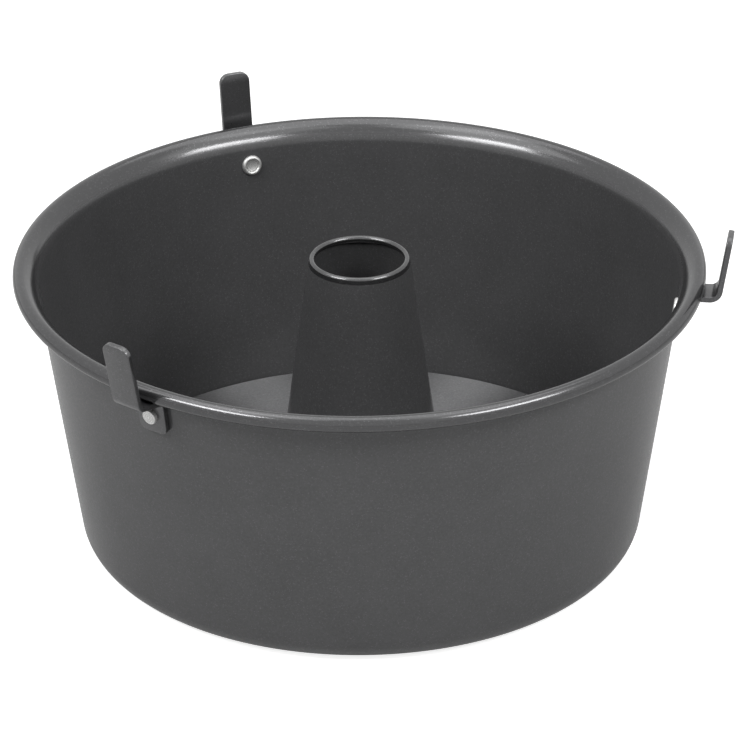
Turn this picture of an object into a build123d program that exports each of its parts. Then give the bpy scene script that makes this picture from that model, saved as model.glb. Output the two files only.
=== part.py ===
from build123d import *
from math import atan2, cos, degrees, hypot, radians, sin, sqrt, tan
import os

# All lengths are millimetres and all angles are degrees.
# The pan stands on the plane z = 0 and its round body is centred on the Z axis.

# Sheet metal
wall_sheet = 0.8
disc_sheet = 0.8
tube_sheet = 0.7
strip_sheet = 2.15
joint_clearance = 0.05

# Outer pan: wall, bottom corner with its inward ledge, flare and rolled rim
rim_radius = 127.0
rim_height = 111.9
wall_lean = 8.44
corner_radius = 11.8
ledge_flat = 7.8
flare_radius = 9.8
flare_rise = 27.0
bead_radius = 2.95
bead_close = 75.0

# Loose base disc: raised seat for the tube, flat floor, edge turned down along the wall
floor_height = 14.3
edge_gap = 0.3
edge_bend = 1.0
boss_height = 1.6
boss_width = 2.6
boss_margin = 9.0
boss_bend = 1.0

# Centre tube: crimped foot, cone and curled lip
tube_height = 113.0
tube_top_radius = 18.4
tube_lean = 7.77
foot_flange = 4.5
foot_bend = 0.2
bead_bulge_turn = 55.0
bead_bulge_radius = 1.3
lip_radius = 1.05
lip_turn = 180.0
lip_drop = 0.5
lip_close = 90.0

# Cooling legs: one bent strip each, riveted to the wall under the rim
leg_names = ["right", "rear", "front"]
right_leg_turn = -7.0
rear_leg_turn = 110.7
front_leg_turn = 231.9
right_tab_lean = 9.2
rear_tab_lean = 8.5
front_tab_lean = 12.5
right_shelf_lean = 0.0
rear_shelf_lean = 0.0
front_shelf_lean = 10.0
right_tab_rise = 17.3
rear_tab_rise = 17.6
front_tab_rise = 20.2
strip_width = 11.8
tab_gap = 7.25
tab_corner_radius = 3.7
plate_corner_radius = 2.5
plate_end = 7.3
plate_bend = 1.5
shelf_bend = 4.9

# Rivets: flat head outside, rolled end inside
right_rivet_drop = 13.8
rear_rivet_drop = 13.1
front_rivet_drop = 14.3
shank_radius = 1.95
head_radius = 2.85
head_height = 1.6
head_round = 0.25
roll_radius = 3.9
roll_height = 1.2
roll_crest_radius = 3.0
roll_bore_radius = 2.2
roll_bore_depth = 0.7
roll_clearance = 0.1
cut_overrun = 0.5

# The legs were bent and placed by hand, so each has its own turn about Z and its own bends
leg_turns = {"right": right_leg_turn, "rear": rear_leg_turn, "front": front_leg_turn}
tab_leans = {"right": right_tab_lean, "rear": rear_tab_lean, "front": front_tab_lean}
shelf_leans = {"right": right_shelf_lean, "rear": rear_shelf_lean, "front": front_shelf_lean}
tab_rises = {"right": right_tab_rise, "rear": rear_tab_rise, "front": front_tab_rise}
rivet_drops = {"right": right_rivet_drop, "rear": rear_rivet_drop, "front": front_rivet_drop}

# Derived rim: the roll's centre, and the flare that leads up to it from the wall
bead_centre_radius = rim_radius - bead_radius
bead_centre_height = rim_height - bead_radius
flare_under = flare_radius - wall_sheet
flare_reach = flare_radius - bead_radius
flare_centre_radius = bead_centre_radius + flare_reach * sin(radians(flare_rise))
flare_centre_height = bead_centre_height - flare_reach * cos(radians(flare_rise))

# Derived wall line: its outside face in the plane of the pan's axis
wall_turn = 90 - wall_lean
wall_bottom_rise = corner_radius * (1 - cos(radians(wall_turn)))
wall_top_height = flare_centre_height + flare_under * sin(radians(wall_lean))
wall_top_radius = flare_centre_radius - flare_under * cos(radians(wall_lean))
wall_rise = wall_top_height - wall_bottom_rise
wall_bottom_radius = wall_top_radius - wall_rise * tan(radians(wall_lean))
corner_centre_radius = wall_bottom_radius - corner_radius * sin(radians(wall_turn))
ledge_radius = corner_centre_radius - ledge_flat


def wall_radius(height):
    return wall_top_radius + (height - wall_top_height) * tan(radians(wall_lean))


# Cross-section of a formed sheet. The moves run along its right-hand face: each is
# a straight length with no turn, or a bend radius with its turn in degrees.
def sheet_section(start, heading, moves, thickness):
    x, y = start
    angle = radians(heading)
    right_side = []
    left_side = []
    right_point = (x, y)
    left_point = (x - thickness * sin(angle), y + thickness * cos(angle))
    first_cap = Line(left_point, right_point)
    for size, turn in moves:
        if turn == 0:
            x = x + size * cos(angle)
            y = y + size * sin(angle)
            next_right = (x, y)
            next_left = (x - thickness * sin(angle), y + thickness * cos(angle))
            right_side.append(Line(right_point, next_right))
            left_side.append(Line(next_left, left_point))
        else:
            reach = size if turn > 0 else -size
            centre_x = x - reach * sin(angle)
            centre_y = y + reach * cos(angle)
            middle = angle + radians(turn) / 2
            angle = angle + radians(turn)
            inner = reach - thickness
            half_right = (centre_x + reach * sin(middle), centre_y - reach * cos(middle))
            half_left = (centre_x + inner * sin(middle), centre_y - inner * cos(middle))
            x = centre_x + reach * sin(angle)
            y = centre_y - reach * cos(angle)
            next_right = (x, y)
            next_left = (centre_x + inner * sin(angle), centre_y - inner * cos(angle))
            right_side.append(ThreePointArc(right_point, half_right, next_right))
            left_side.append(ThreePointArc(next_left, half_left, left_point))
        right_point = next_right
        left_point = next_left
    last_cap = Line(right_point, left_point)
    return make_face(right_side + [last_cap] + left_side[::-1] + [first_cap])


# The same kind of section through corner points, with a bend radius at each inner one.
def bent_section(points, radii, thickness):
    headings = []
    lengths = []
    for (x1, y1), (x2, y2) in zip(points, points[1:]):
        headings.append(degrees(atan2(y2 - y1, x2 - x1)))
        lengths.append(hypot(x2 - x1, y2 - y1))
    moves = []
    trimmed = 0
    for index, radius in enumerate(radii):
        turn = headings[index + 1] - headings[index]
        tangent = radius * tan(radians(abs(turn)) / 2)
        moves.append((lengths[index] - trimmed - tangent, 0))
        moves.append((radius, turn))
        trimmed = tangent
    moves.append((lengths[-1] - trimmed, 0))
    return sheet_section(points[0], headings[0], moves, thickness)


def spun(section):
    return revolve(Plane.XZ * section, Axis.Z)


# Plane on the wall's outside face at a rivet, its normal pointing out of the pan.
def rivet_plane(name):
    height = rim_height - rivet_drops[name]
    outward = (cos(radians(wall_lean)), 0, -sin(radians(wall_lean)))
    return Plane(origin=(wall_radius(height), 0, height), x_dir=(0, 1, 0), z_dir=outward)


def rivet_hole(name):
    cutter_reach = strip_sheet + wall_sheet + cut_overrun
    hole = Cylinder(shank_radius + joint_clearance, 2 * cutter_reach)
    return rivet_plane(name) * hole


# Outer pan: ledge, corner, leaning wall, flare and closed roll in one formed sheet.
def make_pan_shell():
    moves = [
        (ledge_flat, 0),
        (corner_radius, wall_turn),
        (wall_rise / cos(radians(wall_lean)), 0),
        (flare_under, flare_rise - wall_turn),
        (bead_radius - wall_sheet, -flare_rise - 180 - bead_close),
    ]
    shell = spun(sheet_section((ledge_radius, 0), 0, moves, wall_sheet))
    for name in leg_names:
        shell = shell - Rot(0, 0, leg_turns[name]) * rivet_hole(name)
    return shell


# Undersides of the floor and of its raised seat, which the tube's crimped foot holds.
floor_base = floor_height - disc_sheet
seat_height = floor_base + boss_height


def tube_radius(height):
    return tube_top_radius + (tube_height - height) * tan(radians(tube_lean))


disc_hole_radius = tube_radius(seat_height) + foot_bend + joint_clearance


# Inner face of the turned-down edge, which follows the wall's lean at a small gap.
def edge_radius(height):
    return wall_radius(height) - (wall_sheet + edge_gap + disc_sheet) / cos(radians(wall_lean))


# Height of the edge's end, which rests on the inside of the pan's bottom corner.
def edge_end_height():
    corner_inside = corner_radius - wall_sheet
    edge_inside = corner_inside - edge_gap - disc_sheet
    edge_reach = sqrt((corner_inside - joint_clearance) ** 2 - (corner_inside - edge_gap) ** 2)
    drop = edge_inside * sin(radians(wall_lean)) + edge_reach * cos(radians(wall_lean))
    return corner_radius - drop


# Loose bottom: a flat floor whose turned-down edge stands on the bottom corner.
def make_base_disc():
    boss_radius = disc_hole_radius + boss_margin
    edge_base = edge_end_height()
    points = [
        (disc_hole_radius, seat_height),
        (boss_radius - boss_width, seat_height),
        (boss_radius, floor_base),
        (edge_radius(floor_base), floor_base),
        (edge_radius(edge_base), edge_base),
    ]
    return spun(bent_section(points, [boss_bend, boss_bend, edge_bend], disc_sheet))


# Tube: foot flange under the disc, crimp bead above it, cone, lip curled inwards.
def make_centre_tube():
    cone_heading = 90 + tube_lean
    foot_turn = 180 - cone_heading
    foot_top = seat_height - joint_clearance
    foot_run = foot_bend * sin(radians(foot_turn))
    foot_rise = foot_bend * (1 - cos(radians(foot_turn)))
    cone_start = tube_radius(foot_top + foot_rise)
    neck_length = (disc_sheet + 2 * joint_clearance - foot_rise) / cos(radians(tube_lean))
    bulge_length = 4 * bead_bulge_radius * sin(radians(bead_bulge_turn))
    lip_rise = lip_radius * (1 - sin(radians(tube_lean)))
    cone_rise = tube_height - foot_top - foot_rise - lip_rise
    cone_length = cone_rise / cos(radians(tube_lean)) - neck_length - bulge_length
    moves = [
        (foot_flange, 0),
        (foot_bend, -foot_turn),
        (neck_length, 0),
        (bead_bulge_radius, -bead_bulge_turn),
        (bead_bulge_radius, 2 * bead_bulge_turn),
        (bead_bulge_radius, -bead_bulge_turn),
        (cone_length, 0),
        (lip_radius, lip_turn),
        (lip_drop, 0),
        (lip_radius, lip_close),
    ]
    foot_outer = cone_start + foot_run + foot_flange
    return spun(sheet_section((foot_outer, foot_top), 180, moves, tube_sheet))


# The two sharp corners at the strip's upper or lower end.
def strip_corners(leg, upper):
    straight_edges = leg.edges().filter_by(GeomType.LINE)
    short_edges = [edge for edge in straight_edges if abs(edge.length - strip_sheet) < joint_clearance]
    return [edge for edge in short_edges if (edge.center().Z > rim_height) == upper]


# Leg: plate flat on the wall, shelf against the rim's underside, tab leaning outwards.
def make_cooling_leg(name):
    wall_slope = tan(radians(wall_lean))
    tab_slope = tan(radians(tab_leans[name]))
    shelf_slope = tan(radians(shelf_leans[name]))
    shelf_offset = (bead_radius + joint_clearance + strip_sheet) / cos(radians(shelf_leans[name]))
    shelf_base = bead_centre_height - shelf_offset - bead_centre_radius * shelf_slope
    face_offset = (strip_sheet + joint_clearance) / cos(radians(wall_lean))
    plate_base = wall_radius(0) + face_offset
    plate_bottom = rim_height - rivet_drops[name] - plate_end
    plate_top = (shelf_base + plate_base * shelf_slope) / (1 - wall_slope * shelf_slope)
    tab_base = rim_radius + tab_gap - rim_height * tab_slope
    tab_foot = (shelf_base + tab_base * shelf_slope) / (1 - tab_slope * shelf_slope)
    tab_top = rim_height + tab_rises[name]
    points = [
        (plate_base + plate_bottom * wall_slope, plate_bottom),
        (plate_base + plate_top * wall_slope, plate_top),
        (tab_base + tab_foot * tab_slope, tab_foot),
        (tab_base + tab_top * tab_slope, tab_top),
    ]
    section = bent_section(points, [plate_bend, shelf_bend], strip_sheet)
    leg = extrude(Plane.XZ * section, strip_width / 2, both=True)
    leg = fillet(strip_corners(leg, True), tab_corner_radius)
    leg = fillet(strip_corners(leg, False), plate_corner_radius)
    leg = leg - rivet_hole(name)
    return Rot(0, 0, leg_turns[name]) * leg


# Rivet: its axis is the local Z, with zero on the wall's outside face.
def make_rivet(name):
    head_base = strip_sheet + 2 * joint_clearance
    head_top = head_base + head_height
    roll_base = -wall_sheet - roll_clearance
    roll_crest = roll_base - roll_height
    bore_floor = roll_crest + roll_bore_depth
    lines = [
        Line((0, bore_floor), (roll_bore_radius, bore_floor)),
        ThreePointArc((roll_bore_radius, bore_floor), (roll_crest_radius, roll_crest), (roll_radius, roll_base)),
        Line((roll_radius, roll_base), (shank_radius, roll_base)),
        Line((shank_radius, roll_base), (shank_radius, head_base)),
        Line((shank_radius, head_base), (head_radius, head_base)),
        Line((head_radius, head_base), (head_radius, head_top - head_round)),
        RadiusArc((head_radius, head_top - head_round), (head_radius - head_round, head_top), -head_round),
        Line((head_radius - head_round, head_top), (0, head_top)),
        Line((0, head_top), (0, bore_floor)),
    ]
    rivet = revolve(Plane.XZ * make_face(lines), Axis.Z)
    return Rot(0, 0, leg_turns[name]) * (rivet_plane(name) * rivet)


os.makedirs("parts", exist_ok=True)
export_step(make_pan_shell(), "parts/pan_shell.step")
export_step(make_base_disc(), "parts/base_disc.step")
export_step(make_centre_tube(), "parts/centre_tube.step")
for name in leg_names:
    export_step(make_cooling_leg(name), f"parts/cooling_leg_{name}.step")
    export_step(make_rivet(name), f"parts/rivet_{name}.step")
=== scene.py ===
from math import atan2, ceil, cos, degrees, hypot, pi, radians, sin, sqrt, tan

import bmesh
import bpy
from mathutils import Matrix, Vector


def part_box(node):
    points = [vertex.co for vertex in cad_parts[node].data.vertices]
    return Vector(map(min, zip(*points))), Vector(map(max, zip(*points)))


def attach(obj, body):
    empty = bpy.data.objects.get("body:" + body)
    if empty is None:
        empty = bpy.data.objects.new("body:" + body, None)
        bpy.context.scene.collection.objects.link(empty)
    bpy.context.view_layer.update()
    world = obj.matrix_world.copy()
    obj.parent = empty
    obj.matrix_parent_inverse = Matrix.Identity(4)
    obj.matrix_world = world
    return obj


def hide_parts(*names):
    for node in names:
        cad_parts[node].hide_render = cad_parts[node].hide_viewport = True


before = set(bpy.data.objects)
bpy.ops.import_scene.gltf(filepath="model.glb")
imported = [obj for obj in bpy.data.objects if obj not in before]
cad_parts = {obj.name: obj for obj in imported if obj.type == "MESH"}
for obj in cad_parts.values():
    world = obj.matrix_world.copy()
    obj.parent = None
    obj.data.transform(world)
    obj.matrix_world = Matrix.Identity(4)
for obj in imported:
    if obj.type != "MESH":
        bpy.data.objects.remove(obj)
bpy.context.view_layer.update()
print("frame loaded with", len(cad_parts), "nodes")

# Metres and degrees. The pan stands on z = 0 and its round body is centred on Z.

seatGap = 0.00005  # between pieces that are joined or seated
arcStep = 6  # most degrees in one facet of a bend
edgeCut = 0.0001  # chamfer that takes the sharpness off a sheet's cut edge
weldDistance = 1e-6
sharpAngle = radians(38)  # faces that meet at more than this keep a crisp edge


# One step along a section: straight on, or round a bend.
def goStraight(x, y, angle, length):
    return x + length * cos(angle), y + length * sin(angle), angle


def goRound(x, y, angle, radius, turn):
    reach = radius if turn > 0 else -radius
    ahead = angle + radians(turn)
    x += reach * (sin(ahead) - sin(angle))
    y -= reach * (cos(ahead) - cos(angle))
    return x, y, ahead


# Points of a formed sheet's section. Each move is a straight length with no turn, or a
# bend radius with its turn, taken along the right-hand face. The sheet lies to its left.
def sheetOutline(start, heading, moves, thickness, longestRow):
    stations = [(*start, radians(heading))]
    for size, turn in moves:
        if turn:
            steps = max(2, ceil(abs(turn) / arcStep))
            for step in range(steps):
                stations.append(goRound(*stations[-1], size, turn / steps))
        else:
            rows = max(1, ceil(size / longestRow))
            for row in range(rows):
                stations.append(goStraight(*stations[-1], size / rows))
    rightSide = [(x, y) for x, y, angle in stations]
    leftSide = [
        (x - thickness * sin(angle), y + thickness * cos(angle))
        for x, y, angle in stations]
    firstHeading = stations[0][2]
    lastHeading = stations[-1][2]
    outline = cutEdge(leftSide[0], rightSide[0], firstHeading)
    outline += rightSide[1:-1]
    outline += cutEdge(rightSide[-1], leftSide[-1], lastHeading + pi)
    outline += leftSide[-2:0:-1]
    return outline


# The two corners at a sheet's end, each cut back by a small chamfer.
def cutEdge(first, second, inward):
    along = Vector((cos(inward), sin(inward))) * edgeCut
    first, second = Vector(first), Vector(second)
    across = (second - first).normalized() * edgeCut
    points = [first + along, first + across, second - across, second + along]
    return [tuple(point) for point in points]


# Straight runs between corner points, joined by bends of the given radii.
def bentMoves(points, radii):
    headings = []
    lengths = []
    for (x1, y1), (x2, y2) in zip(points, points[1:]):
        headings.append(degrees(atan2(y2 - y1, x2 - x1)))
        lengths.append(hypot(x2 - x1, y2 - y1))
    moves = []
    trimmed = 0
    for index, radius in enumerate(radii):
        turn = headings[index + 1] - headings[index]
        tangent = radius * tan(radians(abs(turn)) / 2)
        moves.append((lengths[index] - trimmed - tangent, 0))
        moves.append((radius, turn))
        trimmed = tangent
    moves.append((lengths[-1] - trimmed, 0))
    return headings[0], moves


# Sets a node's inputs, by name or number, to plain values or to other nodes' outputs.
def fillInputs(tree, node, inputs):
    for key, value in inputs.items():
        socket = node.inputs[key]
        if isinstance(value, bpy.types.NodeSocket):
            tree.links.new(value, socket)
        elif socket.type == "RGBA":
            socket.default_value = (*value, 1)
        else:
            socket.default_value = value


def addNode(tree, kind, inputs=None, **settings):
    node = tree.nodes.new(kind)
    for name, value in settings.items():
        setattr(node, name, value)
    fillInputs(tree, node, inputs or {})
    return node


# A node group with its named inputs (name, kind, default) and outputs (name, kind).
def makeGroup(name, treeKind, inputs, outputs):
    group = bpy.data.node_groups.new(name, treeKind)
    newSocket = group.interface.new_socket
    for label, kind, value in inputs:
        socket = newSocket(name=label, in_out="INPUT", socket_type="NodeSocket" + kind)
        if value is not None:
            socket.default_value = value
    for label, kind in outputs:
        newSocket(name=label, in_out="OUTPUT", socket_type="NodeSocket" + kind)
    return group, addNode(group, "NodeGroupInput"), addNode(group, "NodeGroupOutput")


def maths(tree, operation, first, second):
    node = addNode(tree, "ShaderNodeMath", {0: first, 1: second}, operation=operation)
    return node.outputs[0]


# The end of a Geometry Nodes tree: plain geometry with its finish.
def endTree(tree, geometry, given, result):
    whole = addNode(tree, "GeometryNodeRealizeInstances", {0: geometry})
    finished = addNode(tree, "GeometryNodeSetMaterial", {
        "Geometry": whole.outputs[0],
        "Material": given.outputs["Finish"],
    })
    fillInputs(tree, result, {0: finished.outputs[0]})


# Geometry Nodes tree that spins a closed section round the Z axis. The section lies in
# the X and Y of its own object: X is the distance from the axis and Y is the height.
def makeSpinTree():
    inputs = [
        ("Section", "Geometry", None),
        ("Sides", "Int", None),
        ("Path Radius", "Float", None),
        ("Weld Distance", "Float", None),
        ("Finish", "Material", None),
    ]
    outputs = [("Geometry", "Geometry")]
    tree, given, result = makeGroup("spunSheet", "GeometryNodeTree", inputs, outputs)
    pathRadius = given.outputs["Path Radius"]
    offset = addNode(tree, "ShaderNodeCombineXYZ", {"X": maths(tree, "MULTIPLY", pathRadius, -1)})
    centred = addNode(tree, "GeometryNodeTransform", {
        "Geometry": given.outputs["Section"],
        "Translation": offset.outputs[0],
    })
    upright = addNode(tree, "GeometryNodeTransform", {
        "Geometry": centred.outputs[0],
        "Scale": (1, -1, 1),
    })
    section = addNode(tree, "GeometryNodeMeshToCurve", {0: upright.outputs[0]})
    path = addNode(tree, "GeometryNodeCurvePrimitiveCircle", {
        "Resolution": given.outputs["Sides"],
        "Radius": pathRadius,
    })
    sweep = addNode(tree, "GeometryNodeCurveToMesh", {
        "Curve": path.outputs[0],
        "Profile Curve": section.outputs[0],
    })
    weld = addNode(tree, "GeometryNodeMergeByDistance", {
        "Geometry": sweep.outputs[0],
        "Distance": given.outputs["Weld Distance"],
    })
    endTree(tree, weld.outputs[0], given, result)
    return tree


def addObject(name, data):
    added = bpy.data.objects.new(name, data)
    bpy.context.scene.collection.objects.link(added)
    return added


# Removes a helper object together with its mesh.
def discard(helper):
    mesh = helper.data
    bpy.data.objects.remove(helper)
    bpy.data.meshes.remove(mesh)


# The evaluated result of an object's modifiers as a plain mesh object of its own.
def bakedPiece(source, name):
    depsgraph = bpy.context.evaluated_depsgraph_get()
    evaluated = source.evaluated_get(depsgraph)
    mesh = bpy.data.meshes.new_from_object(evaluated, depsgraph=depsgraph)
    discard(source)
    mesh.name = name
    return addObject(name, mesh)


# The plain mesh that a Geometry Nodes tree makes of an object, with the tree's inputs
# set by their names.
def grownPiece(source, tree, values, name):
    modifier = source.modifiers.new(tree.name, "NODES")
    modifier.node_group = tree
    for socket in tree.interface.items_tree:
        if socket.in_out == "INPUT" and socket.name in values:
            modifier[socket.identifier] = values[socket.name]
    return bakedPiece(source, name)


def spunPiece(name, outline, sides, finish):
    mesh = bpy.data.meshes.new(name + "Section")
    count = len(outline)
    edges = [(index, (index + 1) % count) for index in range(count)]
    mesh.from_pydata([(x, y, 0) for x, y in outline], edges, [])
    values = {
        "Sides": sides,
        "Path Radius": max(x for x, y in outline),
        "Weld Distance": weldDistance,
        "Finish": finish,
    }
    return grownPiece(addObject(name + "Section", mesh), spinTree, values, name)


def meshedObject(name, bm):
    mesh = bpy.data.meshes.new(name)
    bm.to_mesh(mesh)
    bm.free()
    return addObject(name, mesh)


def noise(tree, vector, scale, detail, roughness):
    node = addNode(tree, "ShaderNodeTexNoise", {
        "Vector": vector,
        "Scale": scale,
        "Detail": detail,
        "Roughness": roughness,
    })
    return node.outputs["Fac"]


def remap(tree, value, fromLow, fromHigh, toLow=0, toHigh=1):
    node = addNode(tree, "ShaderNodeMapRange", {
        "Value": value,
        "From Min": fromLow,
        "From Max": fromHigh,
        "To Min": toLow,
        "To Max": toHigh,
    })
    return node.outputs["Result"]


# A value that goes from the first to the second as the share goes from 0 to 1.
def between(tree, share, first, second):
    return remap(tree, share, 0, 1, first, second)


def mixColours(tree, share, first, second):
    node = addNode(tree, "ShaderNodeMix", {"Factor": share}, data_type="RGBA")
    colourInputs = [key for key, socket in enumerate(node.inputs) if socket.type == "RGBA"]
    fillInputs(tree, node, dict(zip(colourInputs, (first, second))))
    return [socket for socket in node.outputs if socket.type == "RGBA"][0]


# Fine relief from a height that varies over the surface.
def relief(tree, height, values):
    bump = addNode(tree, "ShaderNodeBump", {
        "Strength": values["bumpStrength"],
        "Distance": values["bumpDistance"],
        "Height": height,
    })
    return bump.outputs[0]


def newMaterial(name):
    material = bpy.data.materials.new(name)
    material.use_nodes = True
    tree = material.node_tree
    return material, tree, tree.nodes["Principled BSDF"]


# Sprayed non-stick coating: fine grain, scattered bright flakes and soft clouds.
sprayed = {
    "grainDetail": 3,
    "grainRoughness": 0.6,
    "cloudDetail": 2,
    "cloudRoughness": 0.5,
    "noiseRange": (0.3, 0.7),
    "dimmestFlake": 0.3,
    "flakeHeight": 0.35,
}


def makeSprayGroup():
    inputs = [
        ("Vector", "Vector", None),
        ("Grain Scale", "Float", 900),
        ("Flake Scale", "Float", 2600),
        ("Flake Share", "Float", 0.12),
        ("Cloud Scale", "Float", 60),
    ]
    outputs = [(label, "Float") for label in ("Grain", "Flakes", "Clouds", "Height")]
    group, given, result = makeGroup("sprayedGrain", "ShaderNodeTree", inputs, outputs)
    vector = given.outputs["Vector"]
    low, high = sprayed["noiseRange"]
    grainNoise = noise(
        group, vector, given.outputs["Grain Scale"],
        sprayed["grainDetail"], sprayed["grainRoughness"])
    grain = remap(group, grainNoise, low, high)
    cells = addNode(group, "ShaderNodeTexVoronoi", {
        "Vector": vector,
        "Scale": given.outputs["Flake Scale"],
    }, feature="F1")
    cellValues = addNode(group, "ShaderNodeSeparateColor", {0: cells.outputs["Color"]})
    chosen = maths(group, "LESS_THAN", cellValues.outputs["Red"], given.outputs["Flake Share"])
    bright = between(group, cellValues.outputs["Green"], sprayed["dimmestFlake"], 1)
    flakes = maths(group, "MULTIPLY", chosen, bright)
    cloudNoise = noise(
        group, vector, given.outputs["Cloud Scale"],
        sprayed["cloudDetail"], sprayed["cloudRoughness"])
    raised = maths(group, "MULTIPLY", flakes, sprayed["flakeHeight"])
    fillInputs(group, result, {
        "Grain": grain,
        "Flakes": flakes,
        "Clouds": remap(group, cloudNoise, low, high),
        "Height": maths(group, "ADD", grain, raised),
    })
    return group


# Share of a rolled edge, where the coating is burnished: it rises between two distances
# that the vector has along the mask.
def makeEdgeGroup():
    inputs = [
        ("Vector", "Vector", None),
        ("Mask", "Vector", (0, 0, 1)),
        ("From", "Float", 0.1),
        ("To", "Float", 0.11),
    ]
    outputs = [("Share", "Float")]
    group, given, result = makeGroup("burnishedEdge", "ShaderNodeTree", inputs, outputs)
    masked = addNode(group, "ShaderNodeVectorMath", {
        0: given.outputs["Vector"],
        1: given.outputs["Mask"],
    }, operation="MULTIPLY")
    reach = addNode(group, "ShaderNodeVectorMath", {0: masked.outputs[0]}, operation="LENGTH")
    share = remap(group, reach.outputs["Value"], given.outputs["From"], given.outputs["To"])
    fillInputs(group, result, {"Share": share})
    return group


coating = {
    "dark": (0.086, 0.086, 0.088),
    "light": (0.112, 0.112, 0.115),
    "cloudShare": 0.3,
    "flakeTone": (0.3, 0.3, 0.31),
    "flakeMix": 0.25,
    "roughness": (0.32, 0.4),
    "metalShare": 0.2,
    "clearWeight": 0.58,
    "clearRoughness": 0.13,
    "grainScale": 1100,
    "flakeScale": 3200,
    "flakeShare": 0.06,
    "cloudScale": 55,
    "bumpDistance": 0.00004,
    "bumpStrength": 0.12,
}

# The rolled rim and the tube's lip are burnished. The mask picks the distance off the
# axis for the rim and the height for the lip, in metres.
burnished = dict(
    coating,
    edgeTone=(0.1, 0.1, 0.102),
    edgeFlakeMix=0.36,
    edgeMetal=0.82,
    edgeClear=0.12,
    edgeRoughness=0.17,
)
panCoating = dict(burnished, edgeMask=(1, 1, 0), edgeFrom=0.1178, edgeTo=0.1192)
tubeCoating = dict(
    burnished,
    edgeMask=(0, 0, 1),
    edgeFrom=0.1104,
    edgeTo=0.1107,
    edgeTone=(0.12, 0.12, 0.122),
)

stripCoating = dict(coating, roughness=(0.27, 0.34), metalShare=0.75, clearWeight=0.6)

# The loose base was turned before it was coated, so its sheen runs out from the centre.
baseCoating = dict(
    coating,
    dark=(0.092, 0.092, 0.094),
    light=(0.12, 0.12, 0.123),
    roughness=(0.5, 0.56),
    metalShare=0.95,
    clearWeight=0.3,
    sheenStretch=1,
    sheenTurn=0.25,
)


def coatedMaterial(name, values):
    material, tree, shader = newMaterial(name)
    vector = addNode(tree, "ShaderNodeTexCoord").outputs["Object"]
    spray = addNode(tree, "ShaderNodeGroup", node_tree=sprayGroup)
    fillInputs(tree, spray, {
        "Vector": vector,
        "Grain Scale": values["grainScale"],
        "Flake Scale": values["flakeScale"],
        "Flake Share": values["flakeShare"],
        "Cloud Scale": values["cloudScale"],
    })
    clouds = maths(tree, "MULTIPLY", spray.outputs["Clouds"], values["cloudShare"])
    grain = maths(tree, "MULTIPLY", spray.outputs["Grain"], 1 - values["cloudShare"])
    tone = maths(tree, "ADD", grain, clouds)
    colour = mixColours(tree, tone, values["dark"], values["light"])
    low, high = values["roughness"]
    roughness = between(tree, spray.outputs["Grain"], high, low)
    metal = values["metalShare"]
    clear = values["clearWeight"]
    flakeMix = values["flakeMix"]
    if "edgeMask" in values:
        edge = addNode(tree, "ShaderNodeGroup", node_tree=edgeGroup)
        fillInputs(tree, edge, {
            "Vector": vector,
            "Mask": values["edgeMask"],
            "From": values["edgeFrom"],
            "To": values["edgeTo"],
        })
        share = edge.outputs["Share"]
        colour = mixColours(tree, share, colour, values["edgeTone"])
        roughness = between(tree, share, roughness, values["edgeRoughness"])
        metal = between(tree, share, metal, values["edgeMetal"])
        clear = between(tree, share, clear, values["edgeClear"])
        flakeMix = between(tree, share, flakeMix, values["edgeFlakeMix"])
    if "sheenStretch" in values:
        around = addNode(tree, "ShaderNodeTangent", direction_type="RADIAL", axis="Z")
        fillInputs(tree, shader, {
            "Tangent": around.outputs[0],
            "Anisotropic": values["sheenStretch"],
            "Anisotropic Rotation": values["sheenTurn"],
        })
    flakes = maths(tree, "MULTIPLY", spray.outputs["Flakes"], flakeMix)
    fillInputs(tree, shader, {
        "Base Color": mixColours(tree, flakes, colour, values["flakeTone"]),
        "Metallic": metal,
        "Roughness": roughness,
        "Specular IOR Level": 0,  # the clear layer has the gloss
        "Coat Weight": clear,
        "Coat Roughness": values["clearRoughness"],
        "Normal": relief(tree, spray.outputs["Height"], values),
    })
    return material


aluminium = {
    "dark": (0.42, 0.42, 0.41),
    "light": (0.82, 0.82, 0.81),
    "roughness": (0.36, 0.5),
    "metalShare": 0.75,
    "ringScale": 450,
    "ringDistortion": 3,
    "ringDetail": 2,
    "ringDetailScale": 2,
    "streakScale": (900, 4200, 900),
    "streakDetail": 3,
    "streakRoughness": 0.6,
    "streakRange": (0.35, 0.65),
    "ringShare": 0.5,
    "bumpDistance": 0.00002,
    "bumpStrength": 0.15,
}


# Turned rings and brushed streaks, both in a rivet's own coordinates.
def rivetMaterial(name, values):
    material, tree, shader = newMaterial(name)
    vector = addNode(tree, "ShaderNodeAttribute", attribute_name="rivetPlace").outputs["Vector"]
    rings = addNode(tree, "ShaderNodeTexWave", {
        "Vector": vector,
        "Scale": values["ringScale"],
        "Distortion": values["ringDistortion"],
        "Detail": values["ringDetail"],
        "Detail Scale": values["ringDetailScale"],
    }, wave_type="RINGS", rings_direction="Z")
    stretched = addNode(tree, "ShaderNodeMapping", {
        "Vector": vector,
        "Scale": values["streakScale"],
    })
    streaks = noise(
        tree, stretched.outputs[0], 1, values["streakDetail"], values["streakRoughness"])
    ringTone = maths(tree, "MULTIPLY", rings.outputs["Fac"], values["ringShare"])
    streakTone = remap(tree, streaks, *values["streakRange"], 0, 1 - values["ringShare"])
    tone = maths(tree, "ADD", ringTone, streakTone)
    low, high = values["roughness"]
    fillInputs(tree, shader, {
        "Base Color": mixColours(tree, tone, values["dark"], values["light"]),
        "Metallic": values["metalShare"],
        "Roughness": between(tree, tone, high, low),
        "Normal": relief(tree, tone, values),
    })
    return material


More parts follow.
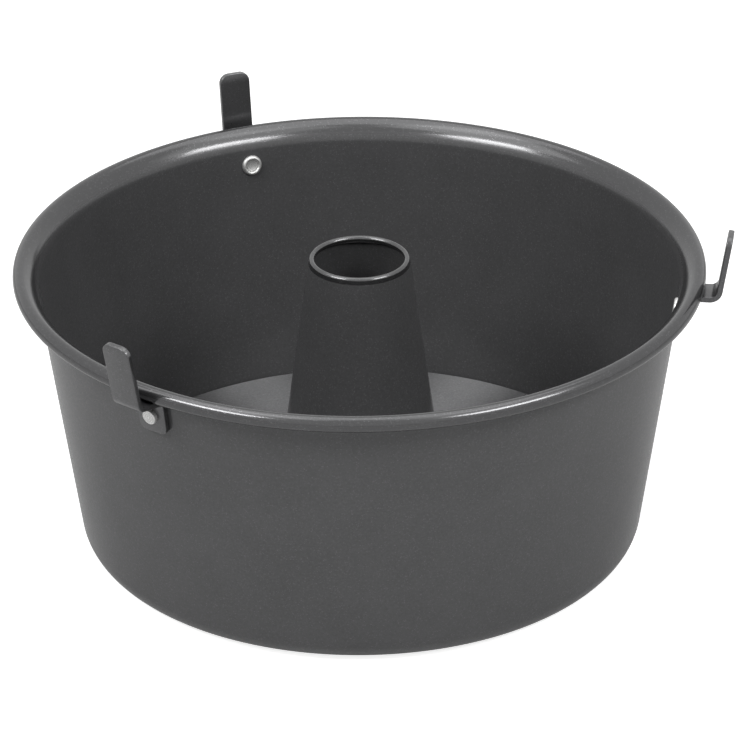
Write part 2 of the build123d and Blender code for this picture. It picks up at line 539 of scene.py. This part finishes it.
spinTree = makeSpinTree()
sprayGroup = makeSprayGroup()
edgeGroup = makeEdgeGroup()
panFinish = coatedMaterial("coatedSteel", panCoating)
tubeFinish = coatedMaterial("coatedTube", tubeCoating)
legFinish = coatedMaterial("coatedStrip", stripCoating)
baseFinish = coatedMaterial("turnedSteel", baseCoating)
rivetFinish = rivetMaterial("brightAluminium", aluminium)
print("finishes made")


# The rim takes its smallest reach, so that a round pan stays inside the CAD's box.
panLow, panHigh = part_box("pan_shell")

pan = {
    "rimRadius": min(-panLow.x, -panLow.y, panHigh.x, panHigh.y),
    "rimHeight": panHigh.z,
    "sheet": 0.0008,
    "wallLean": 8.44,
    "cornerRadius": 0.0118,
    "ledgeFlat": 0.0078,
    "flareRadius": 0.0098,
    "flareRise": 27,
    "beadRadius": 0.00295,
    "beadClose": 75,
    "sides": 360,
    "longestRow": 0.009,
}

# Wall line and the centres of its bends.
wallLean = radians(pan["wallLean"])
wallTurn = 90 - pan["wallLean"]
flareRise = radians(pan["flareRise"])
beadCentreRadius = pan["rimRadius"] - pan["beadRadius"]
beadCentreHeight = pan["rimHeight"] - pan["beadRadius"]
flareUnder = pan["flareRadius"] - pan["sheet"]
flareReach = pan["flareRadius"] - pan["beadRadius"]
flareCentreRadius = beadCentreRadius + flareReach * sin(flareRise)
flareCentreHeight = beadCentreHeight - flareReach * cos(flareRise)
wallBottomRise = pan["cornerRadius"] * (1 - cos(radians(wallTurn)))
wallTopHeight = flareCentreHeight + flareUnder * sin(wallLean)
wallTopRadius = flareCentreRadius - flareUnder * cos(wallLean)
wallRise = wallTopHeight - wallBottomRise
wallBottomRadius = wallTopRadius - wallRise * tan(wallLean)
cornerCentre = wallBottomRadius - pan["cornerRadius"] * sin(radians(wallTurn))
ledgeRadius = cornerCentre - pan["ledgeFlat"]


# Outer face of the wall.
def wallRadius(height):
    return wallTopRadius + (height - wallTopHeight) * tan(wallLean)


def makePanShell():
    moves = [
        (pan["ledgeFlat"], 0),
        (pan["cornerRadius"], wallTurn),
        (wallRise / cos(wallLean), 0),
        (flareUnder, pan["flareRise"] - wallTurn),
        (pan["beadRadius"] - pan["sheet"], -pan["flareRise"] - 180 - pan["beadClose"]),
    ]
    outline = sheetOutline((ledgeRadius, 0), 0, moves, pan["sheet"], pan["longestRow"])
    shell = spunPiece("panShell", outline, pan["sides"], panFinish)
    return cutRivetHoles(shell, legs.values())


disc = {
    "sheet": 0.0008,
    "floorHeight": 0.0143,
    "edgeGap": 0.0003,
    "edgeBend": 0.001,
    "bossHeight": 0.0016,
    "bossWidth": 0.0026,
    "bossMargin": 0.009,
    "bossBend": 0.001,
    "sides": 300,
    "longestRow": 0.006,
}

floorBase = disc["floorHeight"] - disc["sheet"]
seatHeight = floorBase + disc["bossHeight"]


# Inner face of the loose base's turned-down edge.
def edgeRadius(height):
    across = pan["sheet"] + disc["edgeGap"] + disc["sheet"]
    return wallRadius(height) - across / cos(wallLean)


# Height of that edge's end, which rests on the inside of the pan's bottom corner.
def edgeEndHeight():
    cornerInside = pan["cornerRadius"] - pan["sheet"]
    edgeOutside = cornerInside - disc["edgeGap"]
    edgeInside = edgeOutside - disc["sheet"]
    edgeReach = sqrt((cornerInside - seatGap) ** 2 - edgeOutside ** 2)
    drop = edgeInside * sin(wallLean) + edgeReach * cos(wallLean)
    return pan["cornerRadius"] - drop


def makeBaseDisc():
    holeRadius = tubeRadius(seatHeight) + tube["footBend"] + seatGap
    bossRadius = holeRadius + disc["bossMargin"]
    edgeEnd = edgeEndHeight()
    points = [
        (holeRadius, seatHeight),
        (bossRadius - disc["bossWidth"], seatHeight),
        (bossRadius, floorBase),
        (edgeRadius(floorBase), floorBase),
        (edgeRadius(edgeEnd), edgeEnd),
    ]
    heading, moves = bentMoves(points, [disc["bossBend"], disc["bossBend"], disc["edgeBend"]])
    outline = sheetOutline(points[0], heading, moves, disc["sheet"], disc["longestRow"])
    return spunPiece("looseBase", outline, disc["sides"], baseFinish)


tube = {
    "height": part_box("centre_tube")[1].z,
    "topRadius": 0.0184,
    "lean": 7.77,
    "sheet": 0.0007,
    "footFlange": 0.0045,
    "footBend": 0.0002,
    "bulgeTurn": 55,
    "bulgeRadius": 0.0013,
    "lipRadius": 0.00105,
    "lipTurn": 180,
    "lipDrop": 0.0005,
    "lipClose": 90,
    "sides": 240,
    "longestRow": 0.009,
}

tubeLean = radians(tube["lean"])


# Outer face of the tube's cone.
def tubeRadius(height):
    return tube["topRadius"] + (tube["height"] - height) * tan(tubeLean)


# From the flange under the boss, up through the base, out and in again as the bead that
# holds it, up the cone and round the lip.
def makeCentreTube():
    footTurn = 90 - tube["lean"]
    footTop = seatHeight - seatGap
    footRun = tube["footBend"] * sin(radians(footTurn))
    footRise = tube["footBend"] * (1 - cos(radians(footTurn)))
    neckLength = (disc["sheet"] + 2 * seatGap - footRise) / cos(tubeLean)
    bulgeLength = 4 * tube["bulgeRadius"] * sin(radians(tube["bulgeTurn"]))
    lipRise = tube["lipRadius"] * (1 - sin(tubeLean))
    coneRise = tube["height"] - footTop - footRise - lipRise
    coneLength = coneRise / cos(tubeLean) - neckLength - bulgeLength
    moves = [
        (tube["footFlange"], 0),
        (tube["footBend"], -footTurn),
        (neckLength, 0),
        (tube["bulgeRadius"], -tube["bulgeTurn"]),
        (tube["bulgeRadius"], 2 * tube["bulgeTurn"]),
        (tube["bulgeRadius"], -tube["bulgeTurn"]),
        (coneLength, 0),
        (tube["lipRadius"], tube["lipTurn"]),
        (tube["lipDrop"], 0),
        (tube["lipRadius"], tube["lipClose"]),
    ]
    footOuter = tubeRadius(footTop + footRise) + footRun + tube["footFlange"]
    outline = sheetOutline((footOuter, footTop), 180, moves, tube["sheet"], tube["longestRow"])
    return spunPiece("centreTube", outline, tube["sides"], tubeFinish)


# Each leg was bent by hand: its turn about Z, its tab's lean and rise, its shelf's lean
# and how far its rivet lies below the rim.
legs = {
    "right": {
        "turn": -7, "tabLean": 9.2, "shelfLean": 0, "tabRise": 0.0173, "rivetDrop": 0.0138},
    "rear": {
        "turn": 110.7, "tabLean": 8.5, "shelfLean": 0, "tabRise": 0.0176, "rivetDrop": 0.0131},
    "front": {
        "turn": 231.9, "tabLean": 12.5, "shelfLean": 10, "tabRise": 0.0202, "rivetDrop": 0.0143},
}

strip = {
    "sheet": 0.00215,
    "width": 0.0118,
    "tabGap": 0.00725,
    "tabCornerRadius": 0.0037,
    "plateCornerRadius": 0.0025,
    "plateEnd": 0.0073,
    "plateBend": 0.0015,
    "shelfBend": 0.0049,
    "edgeRound": 0.0004,
    "roundSteps": 4,
    "cornerSteps": 10,
    "rowLength": 0.0005,
}


# Turns a leg's own frame, whose X points out of the pan, to the leg's place.
def legTurn(leg):
    return Matrix.Rotation(radians(leg["turn"]), 4, "Z")


# Corner points of a leg's bent face, from its plate's end up to its tab's tip.
def legPoints(leg):
    wallSlope = tan(wallLean)
    tabSlope = tan(radians(leg["tabLean"]))
    shelfSlope = tan(radians(leg["shelfLean"]))
    shelfDrop = pan["beadRadius"] + seatGap + strip["sheet"]
    shelfOffset = shelfDrop / cos(radians(leg["shelfLean"]))
    shelfBase = beadCentreHeight - shelfOffset - beadCentreRadius * shelfSlope
    plateBase = wallRadius(0) + (strip["sheet"] + seatGap) / cos(wallLean)
    plateBottom = pan["rimHeight"] - leg["rivetDrop"] - strip["plateEnd"]
    plateTop = (shelfBase + plateBase * shelfSlope) / (1 - wallSlope * shelfSlope)
    tabBase = pan["rimRadius"] + strip["tabGap"] - pan["rimHeight"] * tabSlope
    tabFoot = (shelfBase + tabBase * shelfSlope) / (1 - tabSlope * shelfSlope)
    tabTop = pan["rimHeight"] + leg["tabRise"]
    return [
        (plateBase + plateBottom * wallSlope, plateBottom),
        (plateBase + plateTop * wallSlope, plateTop),
        (tabBase + tabFoot * tabSlope, tabFoot),
        (tabBase + tabTop * tabSlope, tabTop),
    ]


def moveLength(size, turn):
    return size * radians(abs(turn)) if turn else size


# Point and heading on the bent face at a distance along it.
def alongBends(start, heading, moves, distance):
    station = (*start, radians(heading))
    for size, turn in moves[:-1]:
        length = moveLength(size, turn)
        if distance < length:
            if turn:
                return goRound(*station, size, turn * distance / length)
            return goStraight(*station, distance)
        station = goRound(*station, size, turn) if turn else goStraight(*station, size)
        distance -= length
    return goStraight(*station, distance)


# A rounded corner of the flat strip, as distance along, half width and outward normal.
def stripCorner(centre, radius, firstAngle):
    points = []
    for step in range(strip["cornerSteps"] + 1):
        angle = radians(firstAngle - 90 * step / strip["cornerSteps"])
        along = centre + radius * cos(angle)
        half = strip["width"] / 2 - radius + radius * sin(angle)
        points.append((along, half, cos(angle), sin(angle)))
    return points


# The flat strip's edge on one side, with the same four values at each point.
def stripEdge(length):
    plateRadius = strip["plateCornerRadius"]
    tabRadius = strip["tabCornerRadius"]
    straight = length - plateRadius - tabRadius
    rows = ceil(straight / strip["rowLength"])
    edge = stripCorner(plateRadius, plateRadius, 180)
    for row in range(1, rows):
        edge.append((plateRadius + straight * row / rows, strip["width"] / 2, 0, 1))
    return edge + stripCorner(length - tabRadius, tabRadius, 90)


# The strip's softened side as (how far in, how high), from the bent face to the other.
def softSide():
    softness = strip["edgeRound"]
    side = []
    for step in range(strip["roundSteps"] + 1):
        angle = radians(90 * step / strip["roundSteps"])
        side.append((softness * (1 - sin(angle)), softness * (1 - cos(angle))))
    return side + [(inset, strip["sheet"] - rise) for inset, rise in side[::-1]]


# One leg: a strip with rounded ends and softened edges, bent in two places.
def makeLeg(name, leg):
    points = legPoints(leg)
    heading, moves = bentMoves(points, [strip["plateBend"], strip["shelfBend"]])
    length = sum(moveLength(size, turn) for size, turn in moves)
    section = softSide()
    bm = bmesh.new()
    rings = []
    for along, half, normalAlong, normalAcross in stripEdge(length):
        columns = []
        for side in (1, -1):
            column = []
            for inset, rise in section:
                distance = along - inset * normalAlong
                x, z, angle = alongBends(points[0], heading, moves, distance)
                y = side * (half - inset * normalAcross)
                column.append(bm.verts.new((x - rise * sin(angle), y, z + rise * cos(angle))))
            columns.append(column)
        rings.append(columns[0] + columns[1][::-1])
    count = len(rings[0])
    for first, second in zip(rings, rings[1:]):
        for index in range(count):
            following = (index + 1) % count
            bm.faces.new((first[index], first[following], second[following], second[index]))
    for ring in (rings[0], rings[-1]):  # the ends, closed from one side to the other
        for index in range(count // 2 - 1):
            opposite = count - 1 - index
            bm.faces.new((ring[index], ring[index + 1], ring[opposite - 1], ring[opposite]))
    bmesh.ops.transform(bm, matrix=legTurn(leg), verts=bm.verts)
    bmesh.ops.recalc_face_normals(bm, faces=bm.faces)
    piece = meshedObject(name, bm)
    piece.data.materials.append(legFinish)
    return cutRivetHoles(piece, [leg])


rivet = {
    "shankRadius": 0.00195,
    "headRadius": 0.00285,
    "headHeight": 0.0016,
    "headRound": 0.00035,
    "headSteps": 4,
    "crownShare": 0.5,
    "crownRises": (0.00003, 0.00004),
    "rollRadius": 0.0039,
    "rollHeight": 0.0012,
    "rollCrestRadius": 0.003,
    "rollSpan": (20, 160),
    "rollSteps": 8,
    "rollClearance": 0.0001,
    "boreRadius": 0.0022,
    "boreDepth": 0.0007,
    "boreFlatShare": 0.6,
    "boreSlopeShare": 0.3,
    "sides": 64,
    "cutOverrun": 0.0005,
    "cutSides": 48,
}


# Frame of a rivet: its Z is the wall's outward normal, zero on the wall's outer face.
def rivetFrame(leg):
    height = pan["rimHeight"] - leg["rivetDrop"]
    spot = Matrix.Translation((wallRadius(height), 0, height))
    return legTurn(leg) @ spot @ Matrix.Rotation(radians(90) + wallLean, 4, "Y")


# Cuts the rivet holes of these legs through a piece.
def cutRivetHoles(piece, chosenLegs):
    reach = strip["sheet"] + pan["sheet"] + rivet["cutOverrun"]
    holeRadius = rivet["shankRadius"] + seatGap
    cutter = bmesh.new()
    for leg in chosenLegs:
        bmesh.ops.create_cone(
            cutter, cap_ends=True, segments=rivet["cutSides"], depth=2 * reach,
            radius1=holeRadius, radius2=holeRadius, matrix=rivetFrame(leg))
    holeCutter = meshedObject("holeCutter", cutter)
    cut = piece.modifiers.new("holes", "BOOLEAN")
    cut.operation = "DIFFERENCE"
    cut.solver = "EXACT"
    cut.object = holeCutter
    holed = bakedPiece(piece, piece.name)
    discard(holeCutter)
    return holed


# Rivet section: X from its axis, Y along it, zero on the wall's outer face.
def rivetOutline():
    headBase = strip["sheet"] + 2 * seatGap
    headTop = headBase + rivet["headHeight"]
    rollBase = -pan["sheet"] - rivet["rollClearance"]
    boreFloor = rollBase - rivet["rollHeight"] + rivet["boreDepth"]
    boreMouth = boreFloor - rivet["boreDepth"] * rivet["boreSlopeShare"]
    bore, crest, roll = rivet["boreRadius"], rivet["rollCrestRadius"], rivet["rollRadius"]
    outline = [(0, boreFloor), (bore * rivet["boreFlatShare"], boreFloor), (bore, boreMouth)]
    rollFrom, rollTo = rivet["rollSpan"]
    for step in range(rivet["rollSteps"] + 1):
        angle = radians(rollFrom + (rollTo - rollFrom) * step / rivet["rollSteps"])
        reach = crest - bore if angle < pi / 2 else roll - crest
        outline.append((crest - reach * cos(angle), rollBase - rivet["rollHeight"] * sin(angle)))
    outline += [(roll, rollBase), (rivet["shankRadius"], rollBase)]
    outline += [(rivet["shankRadius"], headBase), (rivet["headRadius"], headBase)]
    edge = rivet["headRound"]
    flat = rivet["headRadius"] - edge
    for step in range(rivet["headSteps"] + 1):
        angle = radians(90 * step / rivet["headSteps"])
        outline.append((flat + edge * cos(angle), headTop - edge + edge * sin(angle)))
    crownSide, crownTop = rivet["crownRises"]
    outline += [(flat * rivet["crownShare"], headTop + crownSide), (0, headTop + crownTop)]
    return outline


# Geometry Nodes tree that sets one rivet at each point, turned as the point says.
def makeRivetTree():
    inputs = [
        ("Places", "Geometry", None),
        ("Rivet", "Object", None),
        ("Finish", "Material", None),
    ]
    outputs = [("Geometry", "Geometry")]
    tree, given, result = makeGroup("rivetsOnPoints", "GeometryNodeTree", inputs, outputs)
    source = addNode(tree, "GeometryNodeObjectInfo", {"Object": given.outputs["Rivet"]})
    position = addNode(tree, "GeometryNodeInputPosition")
    marked = addNode(tree, "GeometryNodeStoreNamedAttribute", {
        "Name": "rivetPlace",
        "Geometry": source.outputs["Geometry"],
        "Value": position.outputs[0],
    }, data_type="FLOAT_VECTOR", domain="POINT")
    turn = addNode(tree, "GeometryNodeInputNamedAttribute", {
        "Name": "turned",
    }, data_type="FLOAT_VECTOR")
    copies = addNode(tree, "GeometryNodeInstanceOnPoints", {
        "Points": given.outputs["Places"],
        "Instance": marked.outputs[0],
        "Rotation": turn.outputs["Attribute"],
    })
    endTree(tree, copies.outputs[0], given, result)
    return tree


def makeRivets():
    single = spunPiece("singleRivet", rivetOutline(), rivet["sides"], rivetFinish)
    places = [rivetFrame(leg) for leg in legs.values()]
    mesh = bpy.data.meshes.new("rivetPoints")
    mesh.from_pydata([tuple(place.to_translation()) for place in places], [], [])
    turns = mesh.attributes.new("turned", "FLOAT_VECTOR", "POINT")
    for value, place in zip(turns.data, places):
        value.vector = place.to_euler()
    points = addObject("rivetPoints", mesh)
    values = {"Rivet": single, "Finish": rivetFinish}
    rivets = grownPiece(points, makeRivetTree(), values, "rivets")
    discard(single)
    return rivets


# Outward faces, smooth shading and crisp edges where two faces meet at an angle.
def finishMesh(piece):
    bm = bmesh.new()
    bm.from_mesh(piece.data)
    bmesh.ops.recalc_face_normals(bm, faces=bm.faces)
    bm.to_mesh(piece.data)
    bm.free()
    piece.data.shade_smooth()
    piece.data.set_sharp_from_angle(angle=sharpAngle)


def fitPiece(piece, body, slot, *nodes):
    finishMesh(piece)
    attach(piece, body)
    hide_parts(*nodes)
    print(piece.name, "made with", len(piece.data.polygons), "faces")


fitPiece(makePanShell(), "pan", "coated_steel", "pan_shell")
fitPiece(makeBaseDisc(), "core", "coated_steel", "base_disc")
fitPiece(makeCentreTube(), "core", "coated_steel", "centre_tube")
for legName, leg in legs.items():
    fitPiece(makeLeg(legName + "Leg", leg), "pan", "coated_steel", "cooling_leg_" + legName)
fitPiece(makeRivets(), "pan", "rivet_metal", "rivet_right", "rivet_rear", "rivet_front")


studio = {
    "floorSize": 6,
    "floorDrop": 0.00005,
    "floorTone": (0.7, 0.7, 0.7),
    "floorRoughness": 0.9,
    "floorWhite": 0.85,  # added to the lamps' light on it where the camera sees it
    "floorShine": 0.22,  # the same where gloss and glass show it
    "lamps": [
        {"name": "leftKey", "place": (-1.12, -0.82, 1.27), "size": (0.9, 0.45), "power": 13.5},
        {"name": "rightKey", "place": (1.08, -0.82, 1.22), "size": (0.9, 0.45), "power": 12.8},
        {"name": "leftBox", "place": (-0.7, -0.2, 1.4), "size": (1, 1), "power": 4.5},
        {"name": "rightBox", "place": (0.7, -0.35, 1.4), "size": (1, 1), "power": 2.5},
        {"name": "topBox", "place": (0, 0.3, 1.45), "size": (1.3, 1.1), "power": 5.5},
    ],
    "target": (0, 0, 0.06),
}


# Camera rays, and the rays by which gloss and glass show what is round them.
def viewRays(tree):
    path = addNode(tree, "ShaderNodeLightPath")
    mirrored = maths(
        tree, "MAXIMUM", path.outputs["Is Glossy Ray"], path.outputs["Is Transmission Ray"])
    return path.outputs["Is Camera Ray"], mirrored


# The floor, just below the pan and clear when seen from underneath.
def makeFloor():
    reach = studio["floorSize"] / 2
    corners = [(-reach, -reach), (reach, -reach), (reach, reach), (-reach, reach)]
    mesh = bpy.data.meshes.new("floor")
    mesh.from_pydata([(x, y, -studio["floorDrop"]) for x, y in corners], [], [(0, 1, 2, 3)])
    floor = addObject("floor", mesh)
    material, tree, shader = newMaterial("paleFloor")
    fillInputs(tree, shader, {
        "Base Color": studio["floorTone"],
        "Roughness": studio["floorRoughness"],
        "Specular IOR Level": 0,
    })
    seen, mirrored = viewRays(tree)
    white = maths(tree, "MULTIPLY", seen, studio["floorWhite"])
    shine = maths(tree, "MULTIPLY", mirrored, studio["floorShine"])
    glow = addNode(tree, "ShaderNodeEmission", {"Strength": maths(tree, "ADD", white, shine)})
    both = addNode(tree, "ShaderNodeAddShader", {0: shader.outputs[0], 1: glow.outputs[0]})
    oneSided = addNode(tree, "ShaderNodeMixShader", {
        0: addNode(tree, "ShaderNodeNewGeometry").outputs["Backfacing"],
        1: both.outputs[0],
        2: addNode(tree, "ShaderNodeBsdfTransparent").outputs[0],
    })
    fillInputs(tree, tree.nodes["Material Output"], {"Surface": oneSided.outputs[0]})
    mesh.materials.append(material)


# White to the camera, gloss and glass. Matt surfaces are lit by the lamps alone.
def makeWorld():
    world = bpy.data.worlds.new("studio")
    bpy.context.scene.world = world
    world.use_nodes = True
    tree = world.node_tree
    strength = maths(tree, "MAXIMUM", *viewRays(tree))
    fillInputs(tree, tree.nodes["Background"], {"Color": (1, 1, 1), "Strength": strength})


# A soft box that faces the pan.
def makeLamp(lamp):
    data = bpy.data.lights.new(lamp["name"], "AREA")
    data.shape = "RECTANGLE"
    data.size, data.size_y = lamp["size"]
    data.energy = lamp["power"]
    light = addObject(lamp["name"], data)
    light.location = lamp["place"]
    away = Vector(lamp["place"]) - Vector(studio["target"])
    light.rotation_euler = away.to_track_quat("Z", "Y").to_euler()


# The photograph's view, as solved from the rim, the base and the tube.
view = {
    "lens": 285.9,
    "sensor": 36,
    "place": (0.00542, -1.9578, 1.07393),
    "tilt": 62.719,
    "roll": -0.413,
}


def makeCamera():
    data = bpy.data.cameras.new("camera")
    data.lens = view["lens"]
    data.sensor_width = view["sensor"]
    camera = addObject("camera", data)
    tilt = Matrix.Rotation(radians(view["tilt"]), 4, "X")
    roll = Matrix.Rotation(radians(view["roll"]), 4, "Z")
    camera.matrix_world = Matrix.Translation(view["place"]) @ tilt @ roll
    bpy.context.scene.camera = camera


makeFloor()
makeWorld()
for lamp in studio["lamps"]:
    makeLamp(lamp)
makeCamera()
bpy.context.scene.view_settings.view_transform = "Standard"
print("studio made")
